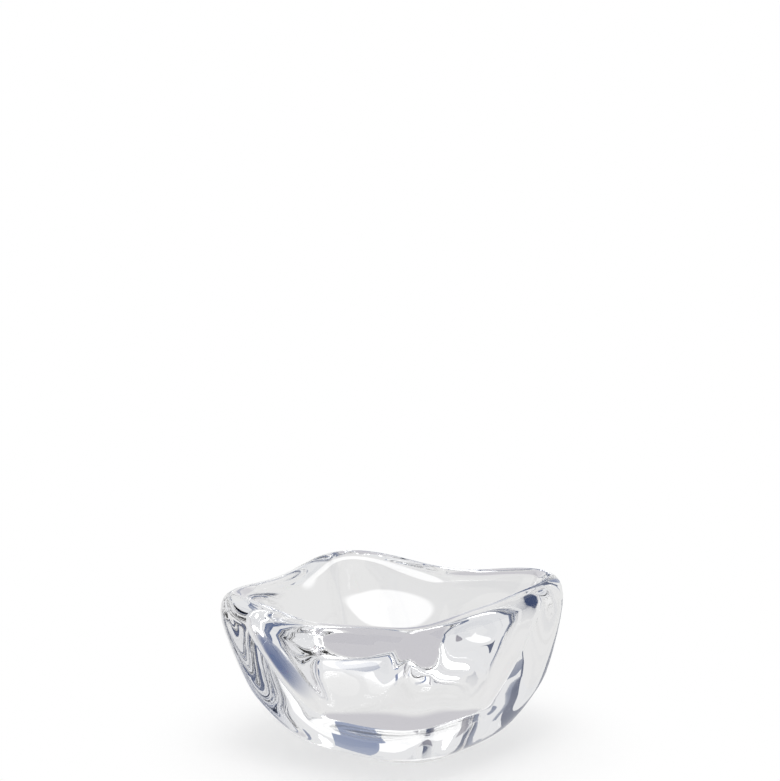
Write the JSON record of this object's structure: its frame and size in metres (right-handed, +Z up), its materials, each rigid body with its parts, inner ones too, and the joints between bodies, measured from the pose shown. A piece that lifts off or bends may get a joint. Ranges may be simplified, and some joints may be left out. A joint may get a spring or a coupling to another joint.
{
  "type": "candle holder",
  "caption": "Heavy clear glass bowl with raised soft corners, a deep dish and a ground flat foot, holding a clear-cup tealight that lifts out.",
  "frame": {"origin": "middle of the ground foot, on the surface the holder stands on", "axes": "+Z up, -Y towards the front corner"},
  "size_m": [0.1291, 0.1304, 0.0617],
  "materials": {
    "clear_glass": "fire-polished clear crystal glass",
    "clear_cup": "clear moulded plastic",
    "wax": "smooth white candle wax",
    "cotton": "braided cotton dipped in wax",
    "tinned_steel": "thin tinned sheet"
  },
  "bodies": {
    "holder": {"glass_bowl": "clear_glass"},
    "cup": {"candle_cup": "clear_cup"},
    "candle": {"candle_wax": "wax", "candle_wick": "cotton", "wick_tab": "tinned_steel"}
  },
  "joints": [
    {"name": "cup_lift", "type": "slide", "parent": "holder", "child": "cup", "axis": [0, 0, 1], "range_m": [0, 0.05]},
    {"name": "candle_lift", "type": "slide", "parent": "cup", "child": "candle", "axis": [0, 0, 1], "range_m": [0, 0.025]}
  ]
}
